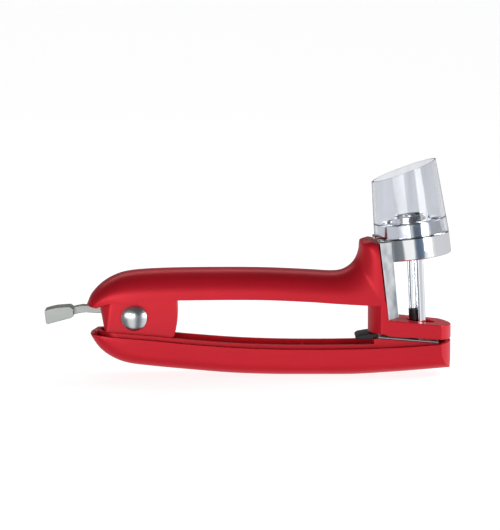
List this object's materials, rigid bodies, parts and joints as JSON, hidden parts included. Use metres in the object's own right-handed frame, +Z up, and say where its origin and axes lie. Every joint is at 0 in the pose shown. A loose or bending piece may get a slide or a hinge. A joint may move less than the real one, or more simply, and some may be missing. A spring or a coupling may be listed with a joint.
{
  "type": "cherry and olive pitter",
  "caption": "Hand-held cherry pitter: two hinged grips, a fluted plunger, a metal cherry seat, a clear splash guard and a lock lever.",
  "frame": {"origin": "centre of the part's box in X and Y, on the flat of the lower grip that it rests on", "axes": "+X from the lock lever to the plunger, +Y across the handles, +Z up towards the splash guard"},
  "size_m": [0.195, 0.036, 0.1037],
  "materials": {
    "red_frame": "satin moulded plastic",
    "red_grip": "satin moulded plastic",
    "bright_chrome": "polished",
    "plain_steel": "plain drawn steel",
    "satin_zinc": "tumbled satin",
    "black_nylon": "matte",
    "black_rubber": "matte",
    "washer_nylon": "natural nylon",
    "clear_guard": "clear moulded plastic"
  },
  "bodies": {
    "lower_handle": {"lower_frame": "red_frame", "lower_grip": "red_grip", "hub_washers": "washer_nylon", "plunger": "bright_chrome", "plunger_foot": "black_nylon", "plunger_plate": "plain_steel", "plate_screws": "plain_steel", "plunger_screw": "plain_steel", "stop_pad": "black_rubber"},
    "upper_handle": {"upper_frame": "red_frame", "upper_grip": "red_grip", "cherry_head": "bright_chrome", "head_screws": "plain_steel", "pivot_pin": "plain_steel", "rivet_cap_front": "bright_chrome", "rivet_cap_back": "bright_chrome", "return_spring": "plain_steel", "lock_pin": "plain_steel", "lock_leaf": "plain_steel"},
    "lock_lever": {"lock_lever": "satin_zinc"},
    "splash_guard": {"splash_guard": "clear_guard"}
  },
  "joints": [
    {"name": "handle_hinge", "type": "hinge", "parent": "lower_handle", "child": "upper_handle", "pos_m": [-0.0544, 0, 0.0279], "axis": [0, -1, 0], "range_deg": [0, 16], "deforming": ["return_spring"]},
    {"name": "lock_lever_hinge", "type": "hinge", "parent": "upper_handle", "child": "lock_lever", "pos_m": [-0.0642, 0, 0.0312], "axis": [0, -1, 0], "range_deg": [0, 12]},
    {"name": "guard_slide", "type": "slide", "parent": "upper_handle", "child": "splash_guard", "axis": [-0.1219, 0, 0.9925], "range_m": [0, 0.04]}
  ]
}
